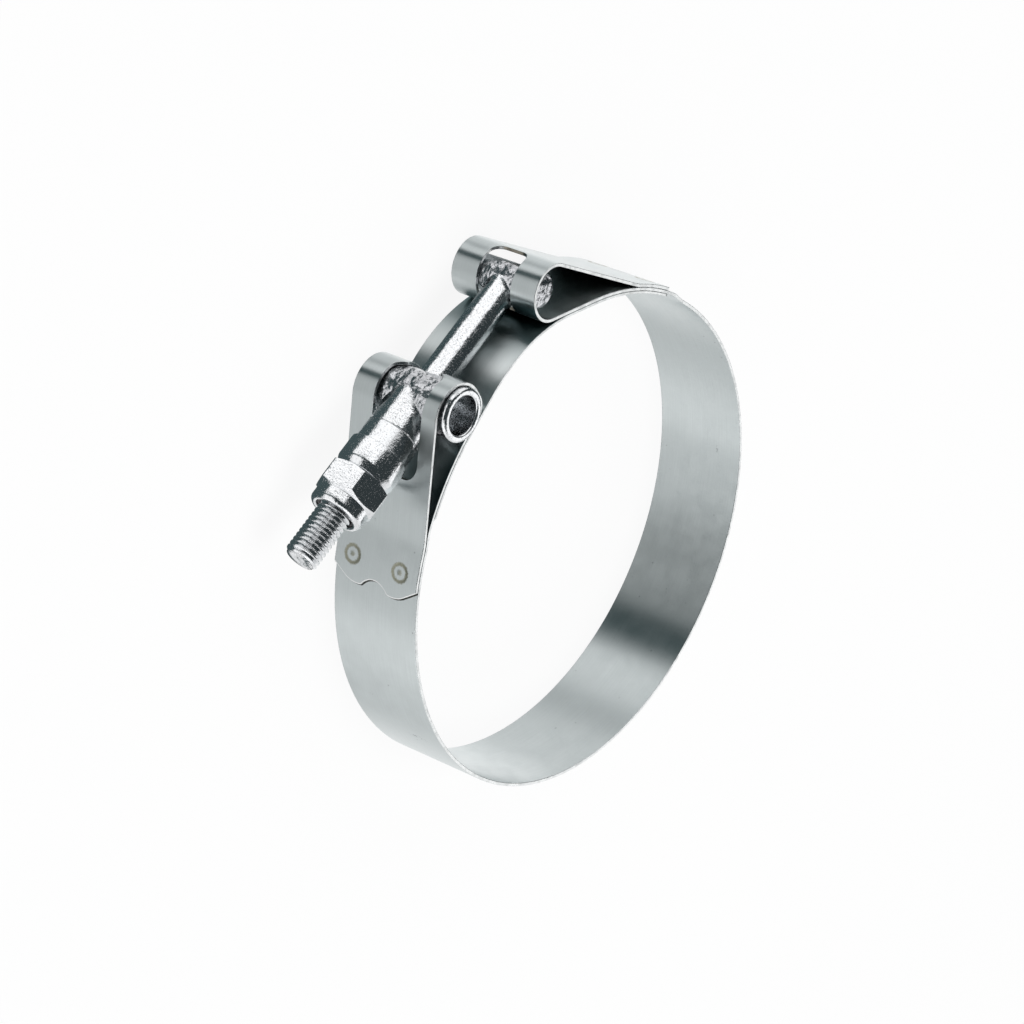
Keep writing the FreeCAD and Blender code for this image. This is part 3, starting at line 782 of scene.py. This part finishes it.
# Bright zinc plate: crystals a quarter of a millimetre across, which turn the mirror a little each way, a slow
# swell of the surface, and small pits that are darker and duller
zincLook = {"fine": 4200.0, "patches": 420.0, "fineHeight": 1.4, "pits": (0.54, 0.68), "polish": 0.05}


def zincCrystalGroup():
    tree, place, given, made = newGroup("zincCrystals", {"Crystals": 3400.0, "Dullness": 0.12, "Deepest": 0.8,
                                                         "Swell": 15.0, "Fleck": 0.3},
                                        ("Height", "Shade", "Roughness"))
    cells = addNode(tree, "TexVoronoi", {"Vector": place, "Scale": given["Crystals"]},
                    feature="SMOOTH_F1")
    fine, patches = (noise(tree, place, zincLook[key]) for key in ("fine", "patches"))
    height = times(tree, fine, zincLook["fineHeight"], cells.outputs["Distance"])
    pits = smoothStep(tree, fine, *zincLook["pits"])
    deepened = calc(tree, "SUBTRACT", given["Deepest"], 1.0)
    rough = times(tree, patches, given["Dullness"], zincLook["polish"])
    feed(tree, made, {"Height": times(tree, patches, given["Swell"], height),
                      "Shade": times(tree, pits, deepened, 1.0),
                      "Roughness": times(tree, pits, given["Fleck"], rough)})
    return tree


# Line along a cut end: from the place across the strip, a ramp gives how far the scallops reach, and the mask
# is 1 within a width of that outline. Way is 1 where the strip lies on the far side of the outline.
cutLineLook = {"stops": 31, "nearFade": (-0.1, 0.1), "farFade": (1.1, 0.7)}


def cutLineGroup():
    tree, place, given, made = newGroup("cutEndLine", {"Start": 0.0, "Way": 1.0, "Width": 0.0003}, ("Line",))
    flat = addNode(tree, "SeparateXYZ", {0: place}).outputs
    across = np.linspace(-halfWidth, halfWidth, cutLineLook["stops"])
    deepest = lobeOutline(across).max()
    reach = ramp(tree, times(tree, flat["Y"], 1 / (2 * halfWidth * mm), 0.5),
                 list(zip(across / (2 * halfWidth) + 0.5, lobeOutline(across) / deepest)))
    past = times(tree, calc(tree, "SUBTRACT", flat["X"], given["Start"]), given["Way"])
    past = times(tree, reach, -deepest * mm, past)
    share = calc(tree, "DIVIDE", past, given["Width"])
    feed(tree, made, {"Line": times(tree, *(smoothStep(tree, share, *cutLineLook[key])
                                            for key in ("nearFade", "farFade")))})
    return tree


# Handling marks and painted shade: a soft ellipse, broken up by noise as far as Broken says
smudgeAndShadeLook = {"scale": 1800.0, "detail": 3.0, "breaks": (0.5, 0.62), "fade": (1.0, 0.2)}


def smudgeAndShadeGroup():
    tree, place, given, made = newGroup("smudgeAndShade", {"Centre": (0, 0, 0), "Size": (1, 1, 1), "Broken": 1.0,
                                                   "Before": 0.0}, ("MarkAndShade",))
    off = addNode(tree, "VectorMath", {0: place, 1: given["Centre"]}, operation="SUBTRACT").outputs[0]
    off = addNode(tree, "VectorMath", {0: off, 1: given["Size"]}, operation="DIVIDE").outputs[0]
    away = addNode(tree, "VectorMath", {0: off}, operation="LENGTH").outputs["Value"]
    grain = noise(tree, place, smudgeAndShadeLook["scale"], smudgeAndShadeLook["detail"])
    broken = smoothStep(tree, grain, *smudgeAndShadeLook["breaks"])
    markAndShade = times(tree, broken, given["Broken"], calc(tree, "SUBTRACT", 1.0, given["Broken"]))
    markAndShade = times(tree, markAndShade, smoothStep(tree, away, *smudgeAndShadeLook["fade"]))
    feed(tree, made, {"MarkAndShade": calc(tree, "MAXIMUM", markAndShade, given["Before"])})
    return tree


rollGrain, weldRing, zincCrystals = rollGrainGroup(), weldRingGroup(), zincCrystalGroup()
cutLine, smudgeAndShade = cutLineGroup(), smudgeAndShadeGroup()

# Stainless strip. Rolling lines run along it, so it mirrors the room sharply round the strip and blurs it
# from edge to edge. Welds, marks, painted shades and the lines at the cut end are places in the strip's flat
# pattern.
steelFinish = {"colour": (0.6, 0.645, 0.648, 1), "roughness": (0.28, 0.34), "lengthwiseBlur": 0.9,
               "grain": {"Line Depth": 0.16, "Clouding": 0.2, "Specks": 0.35}, "bump": 0.14,
               "bumpDepth": 0.00003, "weldRadius": 0.0018, "burnColour": (0.24, 0.23, 0.15, 1),
               "burnAmount": 0.8, "weldDepth": 0.00006, "lineColour": (0.05, 0.05, 0.045, 1), "lineWidth": 0.4,
               "rimHighlightColour": (0.95, 0.95, 0.95, 1), "rimWidth": 0.22, "markAndShadeColour": (0.1, 0.12, 0.12, 1),
               "markAndShadeAmount": 0.55, "shadeColour": (0.02, 0.09, 0.1, 1), "shadeAmount": 0.9, "innerShadeAmount": 0.45}
# Painted light: the bridge takes the band's steel in a lighter colour, so that what it mirrors comes out
# brighter.
bridgeLightenedFinish = dict(steelFinish, colour=(0.68, 0.72, 0.72, 1))


# One copy of a group for each row of values. Each copy takes what the one before it made.
def chain(tree, group, place, rows, outputs):
    made = dict.fromkeys(outputs)
    for row in rows:
        node = addNode(tree, "Group", {"Place": place, **row}, node_tree=group)
        feed(tree, node, {outputs[label]: value for label, value in made.items() if value})
        made = {label: node.outputs[label] for label in outputs}
    return made.values()


def steelMaterial(name, finish, welds, marks, shades, innerShades=(), ends=(), turnOver=0.02):
    material, tree, shader = newMaterial(name)
    place = addNode(tree, "UVMap", uv_map="flatPlace").outputs[0]
    grain = addNode(tree, "Group", {"Place": place, **finish["grain"]}, node_tree=rollGrain).outputs
    colour = mixed(tree, 1.0, finish["colour"], grain["Shade"], "MULTIPLY")
    bump = addNode(tree, "Bump", {"Strength": finish["bump"], "Distance": finish["bumpDepth"],
                                  "Height": grain["Height"]})
    spots = [{"Centre": (s * mm, w * mm, 0), "Radius": finish["weldRadius"]} for s, w in welds]
    burn, dish = chain(tree, weldRing, place, spots, {"Burn": "Before", "Dish": "Dish Before"})
    colour = mixed(tree, times(tree, burn, finish["burnAmount"]), colour, finish["burnColour"])
    pressed = addNode(tree, "Bump", {"Strength": 1.0, "Distance": finish["weldDepth"], "Height": dish,
                                     "Normal": bump.outputs[0]}, invert=True)
    # Only the strip's outer side carries the lines of the cut end: there the normal points away from the axis.
    # Painted shade on the ring's inner wall lies on the strip's inner side.
    local = addNode(tree, "TexCoord").outputs
    facing = addNode(tree, "VectorMath", {0: local["Object"], 1: local["Normal"]}, operation="DOT_PRODUCT")
    inward, outward = (smoothStep(tree, facing.outputs["Value"], 0.0, end) for end in (-turnOver, turnOver))
    for patches, amount, tone, side in ((marks, "markAndShadeAmount", "markAndShadeColour", 1.0),
                                        (shades, "shadeAmount", "shadeColour", 1.0),
                                        (innerShades, "innerShadeAmount", "markAndShadeColour", inward)):
        spots = [{"Centre": (s * mm, w * mm, 0), "Size": (along * mm, across * mm, 1), "Broken": broken}
                 for s, w, along, across, broken in patches]
        markAndShade, = chain(tree, smudgeAndShade, place, spots, {"MarkAndShade": "Before"})
        if markAndShade:
            markAndShade = times(tree, times(tree, markAndShade, side), finish[amount])
            colour = mixed(tree, markAndShade, colour, finish[tone])
    for start, way, width, tone in ends:
        line, = chain(tree, cutLine, place, [{"Start": start * mm, "Way": way, "Width": finish[width] * mm}],
                      {"Line": None})
        colour = mixed(tree, times(tree, line, outward), colour, finish[tone])
    dulled = smoothStep(tree, grain["Dull"], 0.3, 0.7, *finish["roughness"])
    lay = addNode(tree, "Tangent", direction_type="UV_MAP", uv_map="flatPlace")
    feed(tree, shader, {"Base Color": colour, "Normal": pressed.outputs[0], "Roughness": dulled, "Metallic": 1.0,
                        "Anisotropic": finish["lengthwiseBlur"], "Anisotropic Rotation": 0.25,
                        "Tangent": lay.outputs[0]})
    return material


# Cut edges of the strip: brighter than the faces, with no rolling lines, and slightly uneven from the shear.
# The edges of the slots and the cut ends, which face along the strip, are darker.
edgeFinish = {"colour": (0.76, 0.78, 0.78, 1), "dark": (0.66, 0.68, 0.68, 1), "cross": (0.24, 0.225, 0.19, 1),
              "roughness": (0.25, 0.35), "tears": 900.0}


def edgeMaterial(finish=edgeFinish):
    material, tree, shader = newMaterial("shearedStainlessEdge")
    local = addNode(tree, "TexCoord").outputs
    tears = noise(tree, local["Object"], finish["tears"])
    tint = mixed(tree, smoothStep(tree, tears, 0.5, 0.8), finish["colour"], finish["dark"])
    facing = addNode(tree, "SeparateXYZ", {0: local["Normal"]}).outputs["Z"]
    upright = smoothStep(tree, calc(tree, "ABSOLUTE", facing), 0.3, 0.6)
    feed(tree, shader, {"Base Color": mixed(tree, upright, finish["cross"], tint), "Metallic": 1.0,
                        "Roughness": smoothStep(tree, tears, 0.3, 0.7, *finish["roughness"])})
    return material


# Bright zinc plate for turned parts, and a coarser, darker grade for the forged T-head and the cross tube
zincFinish = {"colour": (0.76, 0.775, 0.79, 1), "bump": 0.5, "bumpDepth": 0.00003,
              "crystals": {"Crystals": 4200.0, "Dullness": 0.04, "Deepest": 0.85, "Swell": 5.0, "Fleck": 0.42}}
forgedFinish = {"colour": (0.56, 0.57, 0.59, 1), "bump": 0.65, "bumpDepth": 0.00003,
                "crystals": {"Crystals": 1700.0, "Dullness": 0.14, "Deepest": 0.3, "Swell": 21.0, "Fleck": 0.3}}


def zincMaterial(name, finish):
    material, tree, shader = newMaterial(name)
    place = addNode(tree, "TexCoord").outputs["Object"]
    made = addNode(tree, "Group", {"Place": place, **finish["crystals"]}, node_tree=zincCrystals).outputs
    bump = addNode(tree, "Bump", {"Strength": finish["bump"], "Distance": finish["bumpDepth"],
                                  "Height": made["Height"]})
    feed(tree, shader, {"Base Color": mixed(tree, 1.0, finish["colour"], made["Shade"], "MULTIPLY"),
                        "Roughness": made["Roughness"], "Normal": bump.outputs[0], "Metallic": 1.0})
    return material


# Painted shade: the nylon ring is drawn near black for the dark inside the nut, not in the nylon's own colour.
nylonFinish = {"colour": (0.05, 0.05, 0.055, 1), "dark": (0.03, 0.03, 0.034, 1), "roughness": (0.4, 0.55)}


def nylonMaterial(finish=nylonFinish):
    material, tree, shader = newMaterial("nylonDrawnDark")
    mottle = noise(tree, addNode(tree, "TexCoord").outputs["Object"], 900.0)
    feed(tree, shader, {"Base Color": mixed(tree, mottle, finish["colour"], finish["dark"]),
                        "Roughness": smoothStep(tree, mottle, 0.3, 0.7, *finish["roughness"])})
    return material


# Marks as (place, across, half length along, half length across, how broken up). The place is an angle round the
# ring, an x on the leg or a share of the bridge's length. The leg's large unbroken row is painted shade, not a
# mark.
stripMarksAndShade = {"ring": ((-9.6, -4.1, 0.5, 0.5, 1.0), (-7.0, -0.8, 0.4, 0.5, 1.0), (1.5, 3.4, 0.9, 2.8, 1.0),
                       (65.5, -1.7, 0.7, 0.5, 1.0), (61.2, 0.3, 0.6, 0.6, 1.0), (30.0, -5.0, 0.5, 0.4, 1.0),
                       (110.0, 5.5, 0.6, 0.4, 1.0), (148.0, 4.0, 1.2, 0.4, 1.0)),
              "leg": ((33.0, -2.0, 0.5, 0.4, 1.0), (18.8, 8.5, 12.0, 8.0, 0.0)), "legInset": 3.0,
              "bridge": ((0.4, 6.0, 1.0, 0.5, 1.0), (0.85, -4.0, 0.8, 0.6, 1.0))}
legFrom = lengthAtAngle(band, "tubeLoop", 0.0) + stripMarksAndShade["legInset"]
legTo = lengthAtAngle(band, "tubeTail", tubeTailContact) - stripMarksAndShade["legInset"]
ringMarks = [(lengthAtAngle(band, "ring", angle), *rest) for angle, *rest in stripMarksAndShade["ring"]]
legMarksAndShade = [(lengthWhere(band, legFrom, legTo, 0, x), *rest) for x, *rest in stripMarksAndShade["leg"]]
bridgeMarks = [(bridgeLength * share, *rest) for share, *rest in stripMarksAndShade["bridge"]]
# Painted shade for dark reflections and shadow: the mouth of the gap behind the leg, on the ring's outer wall,
# the front of the T-head's near loop, and the bridge under it. A paler painted shade lies on the ring's inner
# wall.
# Across 60 they reach past both edges.
gapShades = [(lengthAtAngle(band, "tubeOver", -68.0), 12.5, 22.0, 8.5, 0.0),
             (lengthAtAngle(band, "headLoop", -2.0), 8.0, 3.6, 9.0, 0.0)]
ringInnerShades = [(lengthAtAngle(band, "ring", 115.0), 0.0, 18.0, 60.0, 0.0)]
bridgeShades = [(lengthWhere(bridge, 0.0, bridgeLength, 0, -20.1), 0.0, 21.0, 60.0, 0.0)]

# A dark line on the ring along each cut end that lies on it, and a painted highlight, a bright rim, on the cut
# end itself
cutLines = ((lengthAtAngle(band, "ring", tubeTailEnd), -1, "lineWidth", "lineColour"),
            (lengthAtAngle(band, "ring", headTailEnd), 1, "lineWidth", "lineColour"),
            (tubeTailS - steelFinish["rimWidth"], 1, "rimWidth", "rimHighlightColour"),
            (headTailS + steelFinish["rimWidth"], -1, "rimWidth", "rimHighlightColour"))
weldHalf = spotWeld["spread"] / 2
tailWelds = [(s, spotWeld["shift"] + side * weldHalf)
             for s in (headTailS + spotWeld["back"], tubeTailS - spotWeld["back"]) for side in (-1, 1)]
bridgeWeldAngle = tubeAngle + ringTurn(bridgeStrip["weldReach"])
bridgeWeldS = bridgeLine * np.radians((bridgeWeldAngle - bridgeHeadEnd) % 360)

steelBand = steelMaterial("rolledStainlessBand", steelFinish, tailWelds, ringMarks + legMarksAndShade, gapShades,
                          ringInnerShades, cutLines)
steelBridge = steelMaterial("rolledStainlessBridge", bridgeLightenedFinish,
                            [(bridgeWeldS, -weldHalf), (bridgeWeldS, weldHalf)], bridgeMarks, bridgeShades)
cutEdge, nylon = edgeMaterial(), nylonMaterial()
zinc, forged = zincMaterial("brightZincPlate", zincFinish), zincMaterial("forgedZincPlate", forgedFinish)
for piece, materials in ((bandPiece, (steelBand, cutEdge)), (bridgePiece, (steelBridge, cutEdge)),
                         (boltPiece, (zinc, forged)), (tubePiece, (zinc, forged)), (collarPiece, (zinc,)),
                         (nutPiece, (zinc,)), (nylonPiece, (nylon,))):
    for material in materials:
        piece.data.materials.append(material)
nodeMaterials = {"band": steelBand, "bridge": steelBridge, "nylon_insert": nylon}
for nodeName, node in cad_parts.items():
    node.data.materials.clear()
    node.data.materials.append(nodeMaterials.get(nodeName, zinc))
print("stage: materials")

# Camera of the photograph: aimed at the clamping axis, rolled, and shifted to the photograph's framing
view = {"distance": 652.85, "focalPixels": 3508.0, "originPixel": (546.685, 525.761), "frameSize": 1024,
        "sensor": 36.0, "nearest": 0.01, "farthest": 50, "right": (-0.54873, 0.31719, 0.77350),
        "up": (-0.76044, -0.57376, -0.30419), "back": (0.34732, -0.75513, 0.55602)}
camera = bpy.data.cameras.new("photoCamera")
setAll(camera, sensor_width=view["sensor"], lens=view["focalPixels"] / view["frameSize"] * view["sensor"],
       shift_x=0.5 - view["originPixel"][0] / view["frameSize"],
       shift_y=view["originPixel"][1] / view["frameSize"] - 0.5, clip_start=view["nearest"],
       clip_end=view["farthest"])
cameraObject = newObject("photoCamera", camera)
axes = Matrix((view["right"], view["up"], view["back"])).transposed()
cameraObject.matrix_world = Matrix.Translation(Vector(view["back"]) * view["distance"] * mm) @ axes.to_4x4()
bpy.context.scene.camera = cameraObject

# Floor under the band's lower edge. Most of what the camera sees of it is plain white, so its shadows stay pale.
# The metal mirrors the room below the horizon in its place.
floorLook = {"paper": (0.93, 0.93, 0.93, 1), "roughness": 0.9, "half": 3.0, "cameraLift": 0.9, "below": 0.03}
floorMesh = bpy.data.meshes.new("studioFloor")
floorZ = -(halfWidth + floorLook["below"]) * mm
floorMesh.from_pydata([(x * floorLook["half"], y * floorLook["half"], floorZ)
                       for x, y in ((-1, -1), (1, -1), (1, 1), (-1, 1))], [], [(0, 1, 2, 3)])
floor = newObject("studioFloor", floorMesh)
floor.visible_glossy = False


# 1 for what the camera sees, straight on or through glass
def seenRays(tree, path):
    return calc(tree, "ADD", path["Is Camera Ray"], path["Is Transmission Ray"])


def floorMaterial():
    material, tree, shader = newMaterial("paperWhite")
    feed(tree, shader, {"Base Color": floorLook["paper"], "Roughness": floorLook["roughness"],
                        "Specular IOR Level": 0.0})
    seen = seenRays(tree, addNode(tree, "LightPath").outputs)
    mix = addNode(tree, "MixShader", {0: times(tree, seen, floorLook["cameraLift"]),
                                      1: shader.outputs[0], 2: addNode(tree, "Emission").outputs[0]})
    feed(tree, tree.nodes["Material Output"], {"Surface": mix.outputs[0]})
    return material


floorMesh.materials.append(floorMaterial())

# Square lamp over the clamp. The metal doesn't mirror it, so it only lights the floor and the nylon.
lampLook = {"azimuth": 40.0, "elevation": 86.0, "distance": 1.1, "size": 0.8, "power": 8.5}
lamp = bpy.data.lights.new("overheadBox", "AREA")
setAll(lamp, shape="SQUARE", size=lampLook["size"], energy=lampLook["power"])
a, e = np.radians(lampLook["azimuth"]), np.radians(lampLook["elevation"])
toward = Vector((np.cos(a) * np.cos(e), np.sin(a) * np.cos(e), np.sin(e)))
setAll(newObject("overheadBox", lamp), location=toward * lampLook["distance"], rotation_mode="QUATERNION",
       rotation_quaternion=(-toward).to_track_quat("-Z", "Y"), visible_glossy=False)

# Room as the metal mirrors it, read round the compass from -X by way of -Y: how bright its wall is, and the
# sine of the wall's top. The photographed clamp hangs clear of any table, so the wall goes on below the
# horizon to its foot. The ceiling is dark, with one small light panel.
roomLook = {"ceiling": (0.008, 0.018, 0.021, 1), "under": (0.035, 0.065, 0.07, 1), "horizon": 0.15,
            "wall": (1.0, 1.0, 1.0, 1), "foot": -0.63, "edge": 0.04, "mostLight": 3.0, "glossyLift": 0.03,
            "bright": ((-180, 1.15), (-154, 1.15), (-142, 0.8), (-136, 0.8), (-128, 1.25), (-109, 1.45),
                       (-102, 0.3), (-98, 0.0), (-88, 0.0), (-79, 0.95), (-62, 1.22), (-38, 1.15), (-22, 1.2),
                       (-3, 1.2), (2, 1.46), (8, 1.46), (20, 1.4), (35, 1.1), (60, 0.85), (72, 0.98), (90, 1.1),
                       (104, 0.9), (114, 1.25), (160, 1.38), (172, 1.15), (180, 1.15)),
            "tops": ((-180, 0.78), (-140, 0.78), (-132, 0.68), (-102, 0.68), (-94, 0.05), (-24, 0.05), (-8, 0.7),
                     (100, 0.78), (106, -0.1), (168, -0.1), (178, 0.78)),
            "panel": (-0.347, 0.755, 0.556), "panelEdge": (0.955, 0.975), "panelLight": 1.3}


def studioRoom():
    world = bpy.data.worlds.new("studioRoom")
    bpy.context.scene.world = world
    world.use_nodes = True
    tree = world.node_tree
    place = addNode(tree, "TexCoord").outputs["Generated"]
    way = addNode(tree, "SeparateXYZ", {0: place}).outputs
    compass = times(tree, calc(tree, "ARCTAN2", way["Y"], way["X"]), 1 / (2 * np.pi), 0.5)

    # Values at angles round the compass, kept in a ramp that only holds 0 to 1
    def profile(stops, low, high):
        shares = [(angle / 360 + 0.5, (value - low) / (high - low)) for angle, value in stops]
        return times(tree, ramp(tree, compass, shares), high - low, low)

    edge, foot, horizon = roomLook["edge"], roomLook["foot"], roomLook["horizon"]
    above = calc(tree, "SUBTRACT", way["Z"], profile(roomLook["tops"], -1.0, 1.0))
    wall = times(tree, smoothStep(tree, above, edge, -edge),
                smoothStep(tree, way["Z"], foot - edge, foot + edge))
    wall = times(tree, wall, profile(roomLook["bright"], 0.0, roomLook["mostLight"]))
    toward = addNode(tree, "VectorMath", {0: place, 1: roomLook["panel"]}, operation="DOT_PRODUCT")
    panel = smoothStep(tree, toward.outputs["Value"], *roomLook["panelEdge"], 0.0, roomLook["panelLight"])
    dark = mixed(tree, smoothStep(tree, way["Z"], -horizon, horizon), roomLook["under"], roomLook["ceiling"])
    room = mixed(tree, calc(tree, "MAXIMUM", wall, panel), dark, roomLook["wall"], clamp=False)
    path = addNode(tree, "LightPath").outputs
    seen = times(tree, path["Is Glossy Ray"], roomLook["glossyLift"], seenRays(tree, path))
    feed(tree, tree.nodes["Background"], {"Color": mixed(tree, seen, room, (1, 1, 1, 1), clamp=False)})


studioRoom()

scene = bpy.context.scene
scene.view_settings.view_transform = "Standard"
print("stage: camera, floor and lights")
